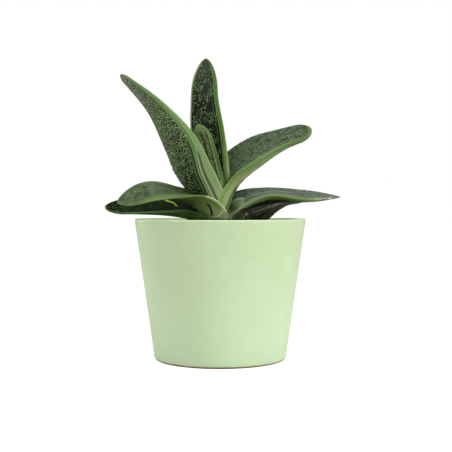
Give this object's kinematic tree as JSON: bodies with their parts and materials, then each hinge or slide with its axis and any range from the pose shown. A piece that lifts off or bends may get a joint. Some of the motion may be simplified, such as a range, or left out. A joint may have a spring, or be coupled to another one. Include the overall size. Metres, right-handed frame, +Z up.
{
  "type": "potted gasteria succulent",
  "caption": "Warty, keeled gasteria rosette growing from a short rooted stem in soil, in a straight tapered pot with a pale green satin glaze.",
  "frame": {"origin": "centre of the pot's flat underside, on the pot's axis", "axes": "+Z up along the pot's axis, +X to the side the right leaves lean, -Y towards the front of the rosette"},
  "size_m": [0.1653, 0.1196, 0.2134],
  "materials": {
    "pot_glaze": "satin",
    "soil": "matte",
    "stem": "matte",
    "young_leaf": "satin",
    "leaf": "satin"
  },
  "bodies": {
    "root": {"pot": "pot_glaze", "soil": "soil", "stem_with_roots": "stem", "leaf_young_centre": "young_leaf", "leaf_back_upright": "leaf", "leaf_left_upper": "leaf", "leaf_right_upper": "leaf", "leaf_left_lower": "leaf", "leaf_right_lower": "leaf", "leaf_left_lowest": "leaf", "leaf_right_lowest": "leaf"}
  },
  "joints": []
}
